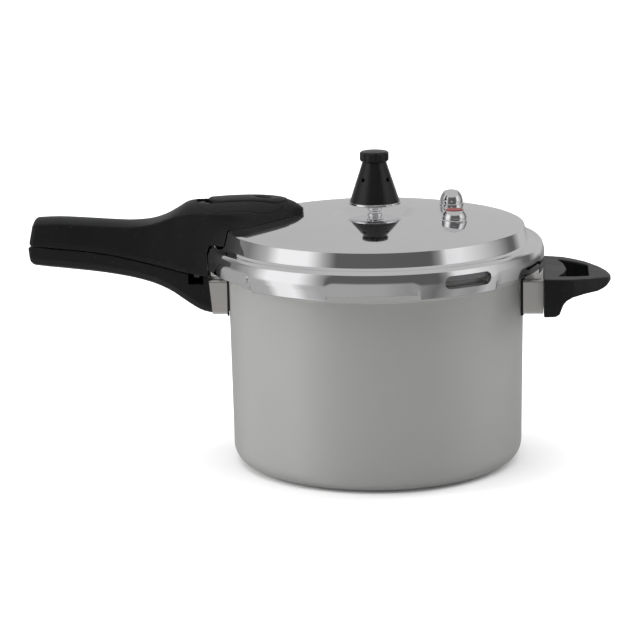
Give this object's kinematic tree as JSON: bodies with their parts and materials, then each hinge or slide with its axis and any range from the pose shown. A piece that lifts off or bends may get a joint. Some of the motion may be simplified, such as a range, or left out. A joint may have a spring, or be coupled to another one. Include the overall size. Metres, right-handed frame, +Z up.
{
  "type": "pressure canner",
  "caption": "Lidded pressure cooking pot with bayonet lid, long two-part handle with sliding lock, helper handle, vent pipe with weight, pressure indicator and relief valve.",
  "frame": {"origin": "centre of the pot's flat base, where it rests", "axes": "+Z up along the pot's axis; the long handles point to -X and the helper handle to +X"},
  "size_m": [0.4342, 0.2494, 0.2331],
  "materials": {
    "grey_paint": "satin grey paint on aluminium",
    "polished_aluminium": "mirror polished",
    "satin_steel": "satin stainless",
    "rivet_aluminium": "plain",
    "zinc_steel": "zinc plated",
    "black_phenolic": "satin moulded phenolic",
    "black_rubber": "matt",
    "grey_silicone": "moulded silicone",
    "chrome_plate": "bright plate",
    "red_plastic": "gloss",
    "brass_metal": "turned",
    "weight_black": "satin black",
    "core_steel": "turned steel"
  },
  "bodies": {
    "pot": {"pot_shell": "grey_paint", "pot_handle_pad": "black_rubber", "pot_handle_guard": "satin_steel", "pot_handle_bracket": "satin_steel", "pot_handle_rivets": "rivet_aluminium", "pot_handle": "black_phenolic", "pot_handle_screw": "zinc_steel", "helper_pad": "black_rubber", "helper_guard": "satin_steel", "helper_bracket": "satin_steel", "helper_rivets": "rivet_aluminium", "helper_handle": "black_phenolic", "helper_screw": "zinc_steel"},
    "lid": {"lid_shell": "polished_aluminium", "skirt_rivet": "polished_aluminium", "sealing_ring": "grey_silicone", "lid_handle": "black_phenolic", "lid_handle_bracket": "satin_steel", "lid_handle_rivets": "rivet_aluminium", "lid_handle_screws": "zinc_steel", "lock_bezel": "black_phenolic", "vent_pipe": "chrome_plate", "vent_pipe_washer": "grey_silicone", "vent_pipe_nut": "zinc_steel", "vent_strainer": "satin_steel", "indicator_body": "chrome_plate", "indicator_washer": "grey_silicone", "indicator_nut": "zinc_steel", "relief_body": "chrome_plate", "relief_cap": "chrome_plate", "relief_washer": "grey_silicone", "relief_nut": "zinc_steel", "relief_spring": "zinc_steel"},
    "lock": {"lock_button": "black_phenolic", "lock_bar": "zinc_steel", "lock_screws": "zinc_steel"},
    "weight": {"weight_base": "chrome_plate", "weight_cone": "weight_black", "weight_core": "core_steel", "weight_screw": "zinc_steel", "weight_cap": "weight_black"},
    "indicator": {"indicator_pin": "red_plastic", "indicator_seal": "grey_silicone"},
    "relief": {"relief_plunger": "brass_metal"}
  },
  "joints": [
    {"name": "lid_turn", "type": "hinge", "parent": "pot", "child": "lid", "pos_m": [0, 0, 0.15], "axis": [0, 0, 1], "range_deg": [0, 30]},
    {"name": "lock_slide", "type": "slide", "parent": "lid", "child": "lock", "axis": [1, 0, 0], "range_m": [-0.009, 0]},
    {"name": "weight_lift", "type": "slide", "parent": "lid", "child": "weight", "axis": [0, 0, 1], "range_m": [0, 0.04]},
    {"name": "indicator_rise", "type": "slide", "parent": "lid", "child": "indicator", "axis": [0, 0, 1], "range_m": [0, 0.004]},
    {"name": "relief_lift", "type": "slide", "parent": "lid", "child": "relief", "axis": [0, 0, 1], "range_m": [0, 0.002], "stiffness_N_per_m": 3000, "springref_m": -0.004, "deforming": ["relief_spring"]}
  ]
}
